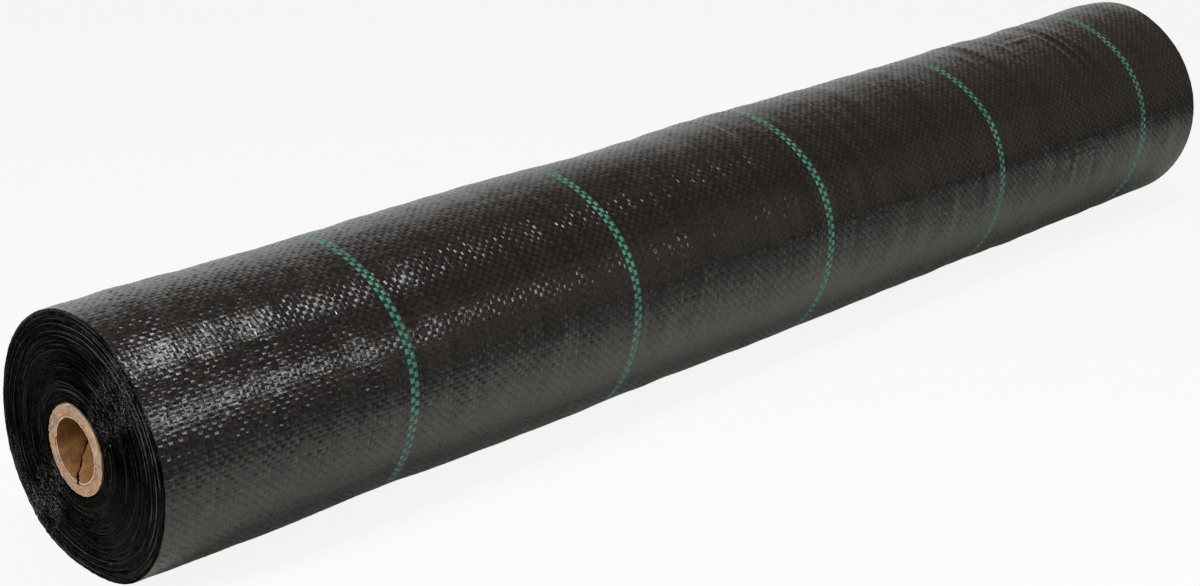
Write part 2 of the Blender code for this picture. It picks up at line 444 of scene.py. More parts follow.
# the stripes don't run quite square: they swing along the roll by a millimetre or two
drift = {
    "mean": -0.0007,
    "swing": 0.0017,
    "swings": 3.5,              # in one turn
    "from": 155.0,
    "ends": 0.10,               # it dies out over this length at both ends
}


def sideDrift(x, turned):
    angle = turned + roll["freeEdge"] - drift["from"]
    swing = drift["mean"] + drift["swing"] * np.cos(np.radians(drift["swings"] * angle))
    return swing * smoothStep((roll["halfWidth"] - np.abs(x)) / drift["ends"])


def placeOnRoll(x, turned, depth):
    angle = np.radians(turned + roll["freeEdge"])
    fade = np.clip(1.0 - depth / roll["softDepth"], 0.0, 1.0)
    radius = roll["topRadius"] - roll["layerStep"] * turned / 360.0 + fade * unevenness(x, angle)
    fromDown = (angle + 1.5 * math.pi) % (2.0 * math.pi) - math.pi
    pressed = roll["axisZ"] / np.maximum(np.cos(fromDown), 0.05)
    radius = radius - fade * np.maximum(radius - pressed, 0.0) - depth
    y = radius * np.cos(angle)
    z = np.maximum(roll["axisZ"] + radius * np.sin(angle), 0.0)
    return np.stack(np.broadcast_arrays(x + fade * sideDrift(x, turned), y, z), axis=-1)


def slowRandom(rows, length, spacing, seed):
    # Rows of random values that change slowly along each row.
    rng = np.random.default_rng(seed)
    knots = rng.normal(size=(rows, int(length / spacing) + 3))
    at = np.arange(length) / spacing
    low = at.astype(int)
    part = smoothStep(at - low)
    return knots[:, low] * (1.0 - part) + knots[:, low + 1] * part


def cellCorners(values):
    # The four corners of every cell of a grid, in order round it.
    return values[:-1, :-1], values[1:, :-1], values[1:, 1:], values[:-1, 1:]


def dressedPiece(name, mesh, smooth, runs, tones, material):
    # runs are the UV of every face corner
    mesh.polygons.foreach_set("use_smooth", np.ascontiguousarray(smooth, dtype=bool))
    tapeRun = mesh.uv_layers.new(name="tapeRun")
    tapeRun.data.foreach_set("uv", np.ascontiguousarray(runs, dtype=np.float32).ravel())
    tone = mesh.attributes.new("tapeTone", "FLOAT", "FACE")
    tone.data.foreach_set("value", np.ascontiguousarray(tones, dtype=np.float32))
    mesh.materials.append(material)
    piece = bpy.data.objects.new(name, mesh)
    scene.collection.objects.link(piece)
    return piece


def meshPiece(name, points, quads, smooth, runs, tones, material):
    # One object from arrays: quads by vertex number.
    mesh = bpy.data.meshes.new(name)
    mesh.vertices.add(len(points))
    mesh.vertices.foreach_set("co", np.ascontiguousarray(points, dtype=np.float32).ravel())
    mesh.loops.add(quads.size)
    mesh.loops.foreach_set("vertex_index", np.ascontiguousarray(quads, dtype=np.int32).ravel())
    mesh.polygons.add(len(quads))
    mesh.polygons.foreach_set("loop_start", np.arange(0, quads.size, 4, dtype=np.int32))
    mesh.update(calc_edges=True)
    piece = dressedPiece(name, mesh, smooth, runs, tones, material)
    mesh.update()
    mesh.set_sharp_from_angle(angle=math.radians(50.0))
    return piece


# Finishes of the tapes

greenStep = 1.5                 # added to the tone of the black tapes that cross a green one
# in all looks, a pair says where a pattern starts and where it is full
tapeLook = {
    "greenTones": (1.2, 1.8),           # of the tapes that cross a green one, and their colour
    "acrossGreen": (0.0010, 0.028, 0.017),
    "fibres": (4200.0, 90.0, 1.0),
    "folds": ((1000.0, 40.0, 1.0), (3.0, 7.0, 0.0)),
    "patches": 34.0,
    "folded": (0.56, 0.72),
    "nearMore": 0.12,                   # folded patches, more of them towards the photographed end
    "nearX": (-0.48, 0.02),
    "creases": ((150.0, 26.0, 1.0), (9.0, 2.0, 0.0)),
    "creased": (0.59, 0.66),
    "creasedX": (-0.15, 0.45),          # they fade between these
    "dust": 38.0,
    "weftRuns": (2.0, 3.0),             # only the weft's runs lie past these
    "shades": (0.55, 0.30, 0.25, -0.35),        # of tone, fibres, dust and weft
    "shown": (0.16, 0.88),
    "rough": (0.5, 0.35, 0.35),         # of fibres, tone and dust
    "folding": (0.30, 2.9),             # everywhere, and more where folded
    "creasing": 1.25,
    "weftLess": 0.7,                    # folds run along the warp tapes, much less along the weft
    "fibreRise": 0.16,
    "bump": (0.9, 0.0001),
}


def tapeInputs(start):
    run = start.add("ShaderNodeUVMap", {"uv_map": "tapeRun"})
    tone = start.add("ShaderNodeAttribute", {"attribute_name": "tapeTone"}, out="Fac")
    return run, tone, start.place()


def tapeMaterial(name, dark, light, roughLow, roughHigh):
    look = tapeLook
    material, shader, start = newMaterial(name)
    run, given, place = tapeInputs(start)
    acrossGreen = given.between(*look["greenTones"])
    tone = given - greenStep * acrossGreen
    fibres = run.stretched(look["fibres"]).noise(1.0, detail=1.0)
    folds = run.stretched(*look["folds"]).noise(1.0, detail=2.0, roughness=0.6)
    along = place.axis("X")
    patches = place.noise(look["patches"], detail=4.0, roughness=0.65)
    patches = patches + look["nearMore"] * (1.0 - along.between(*look["nearX"]))
    folded = patches.between(*look["folded"])
    creased = run.stretched(*look["creases"]).noise(1.0, detail=1.0)
    creased = creased.between(*look["creased"]) * (1.0 - along.between(*look["creasedX"]))
    dust = place.noise(look["dust"], detail=4.0, roughness=0.6)
    weft = run.axis("Y").between(*look["weftRuns"])
    shade = blend(look["shades"], (tone, fibres, dust, weft)).between(*look["shown"])
    colour = acrossGreen.tint(shade.tint(dark, light), look["acrossGreen"])
    rough = roughLow + (roughHigh - roughLow) * blend(look["rough"], (fibres, tone, dust))
    plain, more = look["folding"]
    folded = folded.most(look["creasing"] * creased)
    folding = plain + more * folded * (1.0 - look["weftLess"] * weft)
    height = look["fibreRise"] * fibres + folding * folds
    plug(shader, colour, rough, height.bump(*look["bump"]))
    return material


blackTape = tapeMaterial("blackTape", (0.0004, 0.0003, 0.0003), (0.0215, 0.0175, 0.0146), 0.09, 0.25)
greenTape = tapeMaterial("greenTape", (0.024, 0.120, 0.080), (0.070, 0.262, 0.180), 0.20, 0.38)
print("stage: finishes of the tapes")


# The woven web: outer turn and free end

weave = {
    "borders": (-0.4975, -0.3255, -0.142, 0.0455, 0.241, 0.427, 0.4995),     # panels meet at stripes
    "columns": (54, 57, 59, 61, 58, 22),
    "tailRows": 18,
    "turnRows": 181,
    "relief": 0.00011,          # from the gaps between tapes up to their tops
    "flatter": 0.45,            # share of that which is lost past the places below
    "flatFrom": (-0.40, -0.15),
    "thickness": 0.00034,
    "sideInset": 0.00013,       # how steeply a tape's side falls
    "endShare": 0.20,           # share of a float over which the tape dips at each end
    "crest": 0.00005,           # depth of a level tape's top
    "highest": -0.00008,        # of a tape that leans
    "backRelief": 0.3,          # share of the relief that the other face shows
    "wander": 0.00010,
    "edgeX": (0.00015, 0.00025),        # how far in and out the selvedges wander
    "edgeT": (0.0006, 0.0004),
    "rollAcross": 0.042,        # slow sideways lean of the tapes, as a slope
    "rollLong": 0.022,          # the same for a warp tape over a long way
    "rollCell": 0.028,
    "pitchCell": 0.020,
    "seed": 5,
}


def weaveGrid():
    # Corners between the cells and the four raised points of the tape on top in each cell.
    edgesX = [np.array([weave["borders"][0]])]
    for low, high, count in zip(weave["borders"], weave["borders"][1:], weave["columns"]):
        edgesX.append(np.linspace(low, high, count + 1)[1:])
    edgesX = np.concatenate(edgesX)
    tail = np.linspace(0.0, roll["hingeTurned"], weave["tailRows"] + 1)
    turn = np.linspace(roll["hingeTurned"], roll["lapTurned"], weave["turnRows"] + 1)[1:]
    edgesT = np.concatenate((tail, turn))
    countX = len(edgesX)
    countT = len(edgesT)
    seed = weave["seed"]
    wanderT = weave["wander"] * turnedPerMetre
    cornerX = edgesX[:, None] + weave["wander"] * slowRandom(countX, countT, 7, seed)
    cornerT = edgesT[None, :] + wanderT * slowRandom(countT, countX, 8, seed + 1).T
    rng = np.random.default_rng(seed + 2)
    inward, outward = weave["edgeX"]
    cornerX[0] += rng.uniform(-outward, inward, countT)
    cornerX[-1] += rng.uniform(-inward, outward, countT)
    outward, inward = weave["edgeT"]
    cornerT[:, 0] += turnedPerMetre * rng.uniform(-outward, inward, countX)
    cornerT[:, weave["tailRows"]] = roll["hingeTurned"]
    cellsX = countX - 1
    cellsT = countT - 1

    def cellRandom():
        return rng.normal(size=(cellsX, cellsT))

    warpOver = (np.arange(cellsX)[:, None] + np.arange(cellsT)[None, :]) % 2 == 0
    widthX = np.diff(edgesX)[:, None]
    lengthT = (np.diff(edgesT) / turnedPerMetre)[None, :]
    insetX = np.where(warpOver, weave["sideInset"] / widthX, weave["endShare"])
    insetT = np.where(warpOver, weave["endShare"], weave["sideInset"] / lengthT)
    warpLean = weave["rollAcross"] * slowRandom(cellsX, cellsT, 5, seed + 3)
    warpLean = warpLean + weave["rollLong"] * slowRandom(cellsX, cellsT, 45, seed + 8)
    weftLean = weave["rollAcross"] * 0.7 * slowRandom(cellsT, cellsX, 6, seed + 4).T
    warpLean = warpLean + weave["rollCell"] * cellRandom()
    weftLean = weftLean + weave["rollCell"] * cellRandom()
    along = weave["pitchCell"] * cellRandom()
    leanX = np.where(warpOver, warpLean, along) * (0.5 - insetX) * widthX
    leanT = np.where(warpOver, along, weftLean) * (0.5 - insetT) * lengthT
    raised = []
    for sideX, sideT in ((0, 0), (1, 0), (1, 1), (0, 1)):
        shareX = np.where(sideX, 1.0 - insetX, insetX)
        shareT = np.where(sideT, 1.0 - insetT, insetT)
        weights = (
            (1.0 - shareX) * (1.0 - shareT),
            shareX * (1.0 - shareT),
            shareX * shareT,
            (1.0 - shareX) * shareT,
        )
        x = sum(w * value for w, value in zip(weights, cellCorners(cornerX)))
        turned = sum(w * value for w, value in zip(weights, cellCorners(cornerT)))
        depth = weave["crest"] - (2 * sideX - 1) * leanX - (2 * sideT - 1) * leanT
        depth = np.clip(depth, weave["highest"], 0.8 * weave["relief"])
        flatter = weave["flatter"] * smoothStep(x, *weave["flatFrom"])
        raised.append((x, turned, depth + (weave["relief"] - depth) * flatter))
    warpTone = slowRandom(cellsX, cellsT, 40, seed + 5)
    weftTone = slowRandom(cellsT, cellsX, 60, seed + 6).T
    tone = 0.5 + 0.22 * np.where(warpOver, warpTone, weftTone)
    tone = tone + 0.08 * cellRandom()
    return {
        "cornerX": cornerX,
        "cornerT": cornerT,
        "raised": raised,
        "warpOver": warpOver,
        "tone": tone,
    }


grid = weaveGrid()
backTone = 0.4                  # of the plain back and the panels' walls
groundTone = 0.2                # under a green tape


def gridCorners(columns, rows):
    # Places of a panel's low corners, and their numbers in the panel.
    corner = (slice(columns[0], columns[1] + 1), slice(rows[0], rows[1] + 1))
    cornerX = grid["cornerX"][corner]
    return cornerX, grid["cornerT"][corner], np.arange(cornerX.size).reshape(cornerX.shape)


def wovenSide(columns, rows, greenColumns, flip):
    # One face of a panel: its corners' numbers, then what meshPiece asks for. The other face of
    # the cloth has the weave the other way round.
    cell = (slice(*columns), slice(*rows))
    cornerX, cornerT, number = gridCorners(columns, rows)
    low = weave["thickness"] if flip else weave["relief"]
    over = grid["warpOver"][cell]
    sunk = np.zeros(over.shape, bool)
    toneOf = grid["tone"][cell].copy()
    for column in greenColumns:
        sunk[column - columns[0]] = over[column - columns[0]]
        toneOf[column - columns[0]] += greenStep
    points = [placeOnRoll(cornerX, cornerT, low).reshape(-1, 3)]
    run = [np.stack((cornerX, cornerT / turnedPerMetre), -1).reshape(-1, 2)]
    peaks = []
    offset = number.size
    for x, turned, depth in grid["raised"]:
        x, turned, depth = x[cell], turned[cell], depth[cell]
        if flip:
            depth = weave["thickness"] + weave["relief"] - weave["backRelief"] * depth
        points.append(placeOnRoll(x, turned, depth).reshape(-1, 3))
        run.append(np.stack((x, turned / turnedPerMetre), -1).reshape(-1, 2))
        peaks.append((offset + np.arange(over.size)).reshape(over.shape))
        offset += over.size

    # the tape's top and the four slopes round it, and bare ground under a green tape
    corners = cellCorners(number)
    loops = [(peaks[0], peaks[3], peaks[2], peaks[1], np.ones(over.shape, bool))]
    for side in (0, 3, 2, 1):
        flags = over if side % 2 else ~over
        loops.append((corners[side], corners[side - 1], peaks[side - 1], peaks[side], flags))
    faces = []
    for *four, flags in loops:
        faces.append((np.stack(four, -1)[~sunk], flags[~sunk], over[~sunk], toneOf[~sunk]))
    ground = np.stack((corners[0], corners[3], corners[2], corners[1]), -1)[sunk]
    neither = np.zeros(len(ground), bool)
    faces.append((ground, neither, neither, np.full(len(ground), groundTone)))
    quads, smooth, across, tones = (np.concatenate(part) for part in zip(*faces))
    runs = np.concatenate(run)[quads]
    runs[~across] = runs[~across][..., ::-1] + 5.0     # weft tapes run the other way
    if flip:
        quads = quads[:, ::-1]
        runs = runs[:, ::-1]
    return number, {
        "points": np.concatenate(points),
        "quads": quads,
        "smooth": smooth,
        "runs": runs,
        "tones": tones,
    }


def plainBack(columns, rows):
    cornerX, cornerT, number = gridCorners(columns, rows)
    quads = np.stack(cellCorners(number), -1).reshape(-1, 4)
    run = np.stack((cornerX.ravel(), np.radians(cornerT.ravel()) * roll["wovenRadius"]), -1)
    return number, {
        "points": placeOnRoll(cornerX, cornerT, weave["thickness"]).reshape(-1, 3),
        "quads": quads,
        "smooth": np.ones(len(quads), bool),
        "runs": run[quads],
        "tones": np.full(len(quads), backTone),
    }


def rimLoop(number):
    # Corner numbers once round the border of a panel.
    return np.concatenate((number[:-1, 0], number[-1, :-1], number[:0:-1, -1], number[0, :0:-1]))


def closePanel(name, front, back):
    # Joins the two faces of a panel by a wall round its border.
    (outer, front), (inner, back) = front, back
    offset = len(front["points"])
    back["quads"] = back["quads"] + offset
    outer = rimLoop(outer)
    inner = rimLoop(inner) + offset
    quads = np.stack((outer, np.roll(outer, -1), np.roll(inner, -1), inner), -1)
    runs = np.zeros((len(quads), 4, 2))
    runs[:, 1:3, 0] = 0.003
    runs[:, 2:, 1] = 0.0003
    wall = {
        "points": np.zeros((0, 3)),
        "quads": quads,
        "smooth": np.zeros(len(quads), bool),
        "runs": runs,
        "tones": np.full(len(quads), backTone),
    }
    whole = {part: np.concatenate((front[part], back[part], wall[part])) for part in wall}
    return meshPiece(name, **whole, material=blackTape)


tailRows = (0, weave["tailRows"])
turnRows = (weave["tailRows"], weave["tailRows"] + weave["turnRows"])
panelEnds = [0] + np.cumsum(weave["columns"]).tolist()
panels = list(zip(panelEnds, panelEnds[1:]))       # first column of each panel, and of the next


def blendTail(piece):
    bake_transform(piece)


def makeWeb():
    for number, columns in enumerate(panels, start=1):
        green = []
        if number > 1:
            green.append(columns[0])
        if number < len(panels):
            green.append(columns[1] - 1)
        front = wovenSide(columns, turnRows, green, False)
        back = plainBack(columns, turnRows)
        turn = closePanel(f"outerTurnPanel_{number}", front, back)
        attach(turn, "roll")
        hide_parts("web_outer_turn")
        front = wovenSide(columns, tailRows, green, False)
        back = wovenSide(columns, tailRows, green, True)
        tail = closePanel(f"freeEndPanel_{number}", front, back)
        blendTail(tail)
        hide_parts("web_tail")


makeWeb()
print("stage: woven web, outer turn and free end")


# Green marker tapes, woven over and under with the black ones

marker = {
    "thickness": 0.00007,
    "crown": 0.00003,
    "proud": 0.00003,           # where it comes up between two black tapes
    "sunk": 0.00005,            # where it passes under one
    "above": 0.00002,           # higher than a black tape in its place
    "shares": (0.2, 0.8),       # of a cell, where it is lowest
}


def markerStations(column, firstRow, lastRow):
    # Left and right edge of the tape at each station along it, as x, turned and depth.
    stations = []
    inset = np.array(((weave["sideInset"], 0.0), (-weave["sideInset"], 0.0)))
    corners = np.stack((grid["cornerX"], grid["cornerT"]), -1)[column:column + 2]
    for row in range(firstRow, lastRow + 1):
        ends = [corners[:, at] + inset for at in (row, min(row + 1, lastRow))]
        low = weave["relief"] - marker["proud"]
        stations.append([(*edge, low) for edge in ends[0]])
        if row == lastRow:
            break
        if grid["warpOver"][column, row]:
            for edge in ((0, 1), (3, 2)):
                peaks = [[part[column, row] for part in grid["raised"][peak]] for peak in edge]
                stations.append([(x, turned, depth - marker["above"]) for x, turned, depth in peaks])
        else:
            for share in marker["shares"]:
                between = (1.0 - share) * ends[0] + share * ends[1]
                stations.append([(*edge, weave["relief"] + marker["sunk"]) for edge in between])
    return stations


def markerTape(name, column, firstRow, lastRow, toneSeed):
    stations = markerStations(column, firstRow, lastRow)
    edges = np.array(stations)          # station, side, (x, turned, depth)
    middle = edges.mean(axis=1)
    middle[:, 2] -= marker["crown"]
    ring = [edges[:, 0], middle, edges[:, 1], edges[:, 1].copy(), edges[:, 0].copy()]
    ring[3][:, 2] += marker["thickness"]
    ring[4][:, 2] += marker["thickness"]
    points = np.stack([placeOnRoll(p[:, 0], p[:, 1], p[:, 2]) for p in ring], axis=1)
    count = len(stations)
    number = np.arange(count * 5).reshape(count, 5)
    after = np.roll(number, -1, axis=1)
    sides = np.stack((number[:-1], number[1:], after[1:], after[:-1]), -1).reshape(-1, 4)
    run = [np.stack((p[:, 0], p[:, 1] / turnedPerMetre), -1) for p in ring]
    run = np.stack(run, axis=1).reshape(-1, 2)
    rng = np.random.default_rng(toneSeed)
    knots = np.arange(0, count + 20, 20)
    slow = np.interp(np.arange(count - 1), knots, rng.uniform(0.2, 0.8, len(knots)))
    tones = np.repeat(slow + 0.1 * rng.normal(size=count - 1), 5)
    # both ends are closed by a face of five corners
    mesh = bpy.data.meshes.new("markerTape")
    faces = sides.tolist() + [number[0][::-1].tolist(), number[-1].tolist()]
    mesh.from_pydata(points.reshape(-1, 3).tolist(), [], faces)
    mesh.update()
    smooth = np.arange(len(faces)) < len(sides)
    runs = np.concatenate((run[sides].reshape(-1, 2), np.zeros((10, 2))))
    return dressedPiece(name, mesh, smooth, runs, np.append(tones, (0.5, 0.5)), greenTape)


def makeMarkerTapes():
    parts = (("outer_turn", "outerTurn", turnRows), ("tail", "freeEnd", tailRows))
    for stripe in range(1, len(panels)):
        boundary = panels[stripe][0]
        for letter, column in (("a", boundary - 1), ("b", boundary)):
            for part, shown, rows in parts:
                name = f"markerTape_{stripe}{letter}_{shown}"
                piece = markerTape(name, column, *rows, 100 * stripe + column + rows[0])
                if part == "tail":
                    blendTail(piece)
                else:
                    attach(piece, "roll")
                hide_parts(f"marker_tape_{stripe}{letter}_{part}")


makeMarkerTapes()
print("stage: green marker tapes")


# The turns under the outer one: sleeves of the winding, whose end faces show every turn

fray = {
    "bits": 230,                # on each end face
    "clusters": ((135.0, 15.0, 0.45), (312.0, 17.0, 0.38)),     # angle, spread, share
    "lengths": (0.002, 0.008),
    "widths": (0.00012, 0.00045),
    "thickness": 0.00004,
    "lift": 0.0013,
    "stations": 8,
    "radii": (0.050, 0.0765),           # loose bits, from the axis
    "nearCore": (0.0300, 0.011),        # where a cluster starts, and how it thins out
    "kept": (0.0282, 0.0768),           # between the core and the rim
    "faceX": 0.4987,
    "root": 0.0002,             # how deep a bit starts in the face
    "endEvery": 2,              # warp tapes along the free edge that stick out
    "endShown": 0.8,            # share of them that shows
    "endLengths": (0.0008, 0.0042),
    "endRoot": 0.0008,
    "seed": 41,
}

turns = {
    "pitch": 0.00045,
    "steps": 256,               # round one turn
    "faceX": 0.4991,
    "under": 0.00042,           # from the tops of the outer turn down to the sleeves
    "sideUnder": 0.00012,       # the sleeves' sides lie this much lower than their rims
    "clear": 0.00003,           # between one sleeve and the next
    "sleeves": (20, 47, 47),    # turns in each, from the outside
    "sections": 83,             # along the outer sleeve, so that it follows the roll's dents
    "share": (0.0, 0.2, 0.5, 0.8),      # across one turn's edge: the valley and the rounded ridge
    "drop": (0.00044, 0.00009, 0.0, 0.00011),
    "bulge": 0.0030,            # the face stands further out towards the core
    "ragged": 0.00018,          # of single points of an edge
    "wavy": 0.00022,
    "groups": 0.00034,          # turns stand proud in groups
    "bow": 0.0006,              # slow unevenness of a whole face
    "comes": 30,                # spots round one turn where its edge is lighter or darker
    "rimBack": 0.0005,          # one step of the fanned rim
    "rimSteps": (0.8, 3.0, 6.5, 11.0, 17.0, 24.0, 32.0),     # turns in from the outside
    "rimWidth": 0.22,           # of a step, in turns
    "rimHighlightTone": 1.40,            # painted highlight: the rim's steps are made lighter, as where their edges catch the light
    "wobble": 0.00030,          # turns aren't quite round
    "wearAndHighlight": (0.15, 0.50, 0.14),         # usual, extra and how many turns have the extra: lighter turns, partly wear and partly painted highlight of edges that catch the light
    "seed": 21,
}


def bulge(lap):
    # how far a face stands out, that many turns in from the outside
    return turns["bulge"] * smoothStep(lap, 30.0, 110.0)


def rimShare(side, angle):
    # the photographed end is fanned most at the front
    if side > 0.0:
        return 0.5
    return 0.55 + 0.45 * np.cos(angle - math.radians(190.0))


def endHeights(count, radial, seed):
    # How far each point of an end face stands back, count steps round by radial points in.
    each = len(turns["share"])
    rng = np.random.default_rng(seed)
    lap = np.arange(count + 1)[:, None] / count + np.arange(radial + 1)[None, :] // each
    turnsIn = int(lap.max()) + 3
    groups = np.interp(lap, np.arange(turnsIn), rng.normal(size=turnsIn))
    few = np.arange(0, turnsIn + 5, 5)
    slower = np.interp(lap, few, rng.normal(size=len(few)))
    knots = 28
    wave = np.interp(lap * knots, np.arange(turnsIn * knots), rng.normal(size=turnsIn * knots))
    fine = rng.normal(size=lap.shape)
    around = 360.0 * np.arange(count + 1)[:, None] / count
    around = around + roll["lapTurned"] - 360.0 + roll["freeEdge"]
    for middle, spread, share in fray["clusters"]:
        fine = fine * (1.0 + 3.0 * np.exp(-(degreesFrom(around, middle) / spread) ** 2))
    fine[-1, :-each] = fine[0, each:]
    back = turns["groups"] * (groups + 0.8 * slower) + turns["wavy"] * wave + turns["ragged"] * fine
    return back, lap


def sleeve(firstLap, lapCount):
    # firstLap turns in from the outside, lapCount turns thick.
    count = turns["steps"]
    each = len(turns["share"])
    radial = each * lapCount
    order = np.arange(radial + 1)
    inward = (order // each + np.array(turns["share"])[order % each]) * turns["pitch"]
    drop = np.array(turns["drop"])[order % each][None, :]
    lapStart = roll["lapTurned"] - 360.0
    turned = lapStart + 360.0 * np.arange(count + 1)[:, None] / count
    angle = np.radians(turned + roll["freeEdge"])
    depth = turns["under"] + firstLap * turns["pitch"] + inward[None, :]
    depth = depth + turns["clear"] * (firstLap > 0)
    faces = []
    for side in (-1.0, 1.0):
        back, lap = endHeights(count, radial, turns["seed"] + firstLap + int(side))
        lap = lap + firstLap
        bow = turns["bow"] * np.sin(angle * 2.0 + 1.0 + side) * np.sin(lap * 0.055 + 0.6)
        rim = 0.0
        for step in turns["rimSteps"]:
            rim = rim + turns["rimBack"] / (1.0 + np.exp((lap - step) / turns["rimWidth"]))
        standsBack = np.clip(rim * rimShare(side, angle) + 0.5 * (back + bow), -0.0003, None)
        x = turns["faceX"] - standsBack - drop + bulge(lap)
        wobble = turns["wobble"] * np.sin(angle * 9.0 + lap * 0.21) * np.sin(lap * 0.13 + angle * 2.0)
        # none at the outermost turns and at the core
        wobble = wobble * np.clip((lap - 2.0) / 10.0, 0.0, 1.0) * np.clip((112.0 - lap) / 6.0, 0.0, 1.0)
        faces.append(placeOnRoll(side * x, turned, depth + wobble))
    # one turn on, the grid meets itself one ridge further in
    number = np.arange((count + 1) * (radial + 1)).reshape(count + 1, radial + 1)
    number[-1, :-each] = number[0, each:]
    return faces, number, turned, depth


def boundary(number):
    # Point numbers once round the outside of a sleeve, down its step, and the same for its bore.
    each = len(turns["share"])
    outside = np.concatenate((number[:, 0], number[0, each - 1:0:-1]))
    bore = np.concatenate((number[:, -1], number[-1, -2:-each - 1:-1]))
    return outside, bore


def sleeveTones(firstLap, lapCount):
    # Some turns are lighter than others, partly as wear and partly as painted highlight of edges that
    # catch the light, and it comes and goes along them.
    rng = np.random.default_rng(turns["seed"] + 7 + firstLap)
    around = np.arange(turns["steps"])[:, None] / turns["steps"]
    each = len(turns["share"])
    around = around + np.arange(each * lapCount)[None, :] // each
    usual, extra, often = turns["wearAndHighlight"]
    laps = lapCount + 3
    knots = turns["comes"] * laps
    tones = []
    for side in range(2):
        ofTurn = rng.exponential(usual, laps) + extra * (rng.random(laps) < often)
        wearAndHighlight = np.interp(around, np.arange(laps), ofTurn)
        comes = np.interp(around * turns["comes"], np.arange(knots), 2.0 * rng.random(knots) ** 1.5)
        # painted highlight on the rim's steps
        for step in turns["rimSteps"]:
            past = around + firstLap - step - 0.2
            wearAndHighlight = wearAndHighlight + turns["rimHighlightTone"] * np.exp(-(past / turns["rimWidth"]) ** 2)
        tones.append((wearAndHighlight * comes + 0.10 * rng.normal(size=around.shape)).ravel())
    return tones


def makeSleeve(name, firstLap, lapCount, sections, material):
    faces, number, turned, depth = sleeve(firstLap, lapCount)
    size = faces[0].shape[0] * faces[0].shape[1]
    points = [faces[0].reshape(-1, 3), faces[1].reshape(-1, 3)]
    first, second, third, fourth = cellCorners(number)
    cells = np.stack((first, fourth, third, second), -1).reshape(-1, 4)
    quads = [cells, cells[:, ::-1] + size]
    outside, bore = boundary(number)
    flatTurned, flatDepth = (part.ravel() for part in np.broadcast_arrays(turned, depth))
    rings = [outside]
    offset = 2 * size
    for section in range(1, sections):
        x = np.full(len(outside), roll["halfWidth"] * (2.0 * section / sections - 1.0))
        points.append(placeOnRoll(x, flatTurned[outside], flatDepth[outside] + turns["sideUnder"]))
        rings.append(offset + np.arange(len(outside)))
        offset += len(outside)
    rings.append(outside + size)
    for first, second in zip(rings, rings[1:]):
        quads.append(np.stack((first, np.roll(first, -1), np.roll(second, -1), second), -1))
    quads.append(np.stack((bore, bore + size, np.roll(bore, -1) + size, np.roll(bore, -1)), -1))
    quads = np.concatenate(quads)
    points = np.concatenate(points)
    used = np.zeros(len(points), bool)
    used[quads.ravel()] = True
    renumber = np.cumsum(used) - 1
    quads = renumber[quads]
    lap = firstLap + flatDepth / turns["pitch"]
    arc = np.radians(flatTurned) * (roll["axisDepth"] - flatDepth)
    run = np.zeros((len(used), 2))
    run[:size] = np.stack((lap * turns["pitch"], arc), -1)
    run[size:2 * size] = run[:size]
    run = run[used]
    runs = run[quads]
    walls = np.full(len(quads) - 2 * len(cells), 0.2)
    tones = np.clip(np.concatenate((*sleeveTones(firstLap, lapCount), walls)), 0.0, 2.0)
    piece = meshPiece(name, points[used], quads, np.zeros(len(quads), bool), runs, tones, material)
    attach(piece, "roll")
    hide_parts("web_inner_turns")
    return piece


edgeLook = {
    "layers": (5600.0, 60.0, 1.0),
    "patches": 55.0,
    "diagonal": 0.707,
    "frayedAside": (0.02, 0.12),        # two opposite sectors of the face are frayed, and carry the specks of a painted highlight
    "frayedAndGlinting": (0.38, 0.58),
    "rimSquare": (0.0046, 0.0056),      # radius squared, near the roll's outside
    "rimFrayed": (0.45, 0.60),
    "rimAside": (0.20, 0.60),
    "rimShare": 0.6,
    "specks": 1300.0,
    "speckled": (0.53, 0.66),
    # pale specks of a painted highlight, where the lamp's glint runs across the turns' edges
    "paintedGlint": 700.0,
    "paintedGlintPatches": (0.45, 0.60),
    "paintedGlintColour": (0.21, 0.21, 0.20),
    "shades": (0.85, 0.20, 0.25),       # of tone, layers and patches
    "shown": (0.28, 1.15),
    "dark": (0.0002, 0.0002, 0.0002),
    "light": (0.032, 0.036, 0.029),
    "wearAndHighlightTones": (1.0, 1.9),
    "wearAndHighlight": (0.085, 0.080, 0.068),
    "smoothest": 0.12,
    "rough": (0.18, 0.20),              # of patches and tone
    "rises": (0.8, 0.4),                # of layers and tone
    "frayedRise": 5.0,
    "bump": (0.7, 0.00012),
    "specular": 0.12,
}


